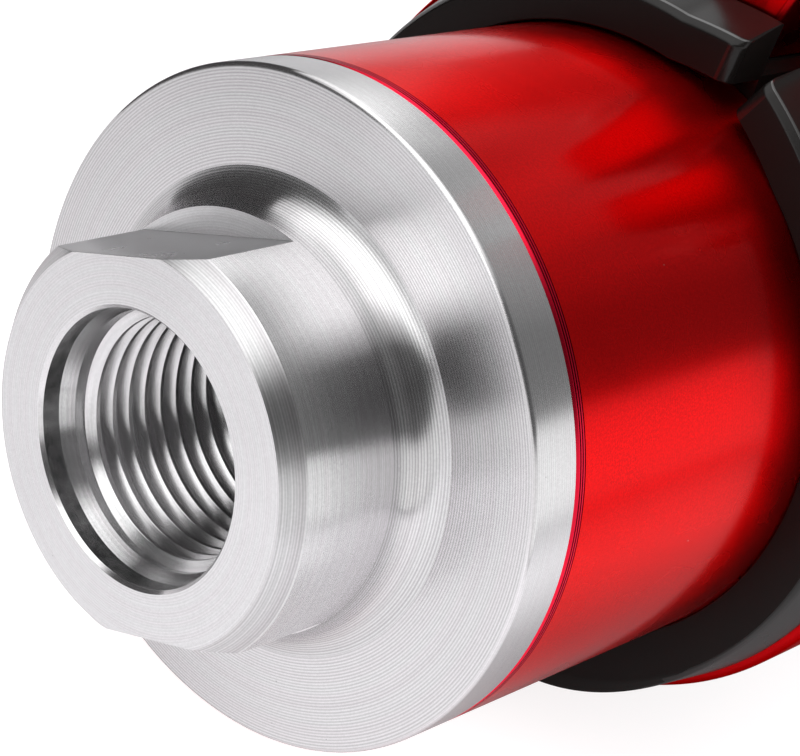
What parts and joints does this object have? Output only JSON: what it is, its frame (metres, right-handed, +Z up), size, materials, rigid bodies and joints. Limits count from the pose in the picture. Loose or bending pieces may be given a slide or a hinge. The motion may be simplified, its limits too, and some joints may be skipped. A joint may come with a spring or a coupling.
{
  "type": "inline fuel filter",
  "caption": "Inline fuel filter with screwed end caps, a straight-thread port at each end, a pleated mesh element inside, and a split clamp with a rubber sleeve and a foot.",
  "frame": {"origin": "middle of the part's footprint, on the plane that the clamp's foot stands on", "axes": "+X along the flow from the inlet to the outlet, +Y across the clamp towards its nuts, +Z up through the clamp's gap"},
  "size_m": [0.144, 0.074, 0.093],
  "materials": {
    "red_anodised": "bright red anodised, turned",
    "red_clamp": "bright red anodised, milled",
    "machined_cap": "bare, finely turned",
    "seal_rubber": "smooth",
    "sleeve_rubber": "satin, moulded",
    "steel_mesh": "woven mesh",
    "element_steel": "satin",
    "element_aluminium": "satin",
    "spring_steel": "bright drawn wire",
    "screw_steel": "zinc plated"
  },
  "bodies": {
    "filter_body": {"body_tube": "red_anodised", "mount_sleeve": "sleeve_rubber", "clamp": "red_clamp", "clamp_screw_inlet_side": "screw_steel", "clamp_screw_outlet_side": "screw_steel", "clamp_washer_inlet_side": "screw_steel", "clamp_washer_outlet_side": "screw_steel", "clamp_nut_inlet_side": "screw_steel", "clamp_nut_outlet_side": "screw_steel"},
    "inlet_seal_body": {"inlet_cap_seal": "seal_rubber"},
    "inlet_cap_body": {"inlet_cap": "machined_cap", "element_spring": "spring_steel"},
    "outlet_seal_body": {"outlet_cap_seal": "seal_rubber"},
    "outlet_cap_body": {"outlet_cap": "machined_cap", "element_seal": "seal_rubber", "element_open_plate": "element_aluminium", "element_pleats": "steel_mesh", "element_core": "element_steel", "element_closed_plate": "element_aluminium", "spring_cup": "element_steel"}
  },
  "joints": [
    {"name": "inlet_cap_travel", "type": "slide", "parent": "filter_body", "child": "inlet_seal_body", "axis": [-1, 0, 0], "range_m": [0, 0.0075]},
    {"name": "inlet_cap_turn", "type": "hinge", "parent": "inlet_seal_body", "child": "inlet_cap_body", "pos_m": [-0.06, 0, 0.041], "axis": [-1, 0, 0], "range_deg": [0, 1800]},
    {"name": "outlet_cap_travel", "type": "slide", "parent": "filter_body", "child": "outlet_seal_body", "axis": [1, 0, 0], "range_m": [0, 0.0075]},
    {"name": "outlet_cap_turn", "type": "hinge", "parent": "outlet_seal_body", "child": "outlet_cap_body", "pos_m": [0.06, 0, 0.041], "axis": [1, 0, 0], "range_deg": [0, 1800]}
  ],
  "couplings": [
    {"joint": "inlet_cap_travel", "follows": "inlet_cap_turn", "m_per_rad": 0.00023873},
    {"joint": "outlet_cap_travel", "follows": "outlet_cap_turn", "m_per_rad": 0.00023873}
  ]
}
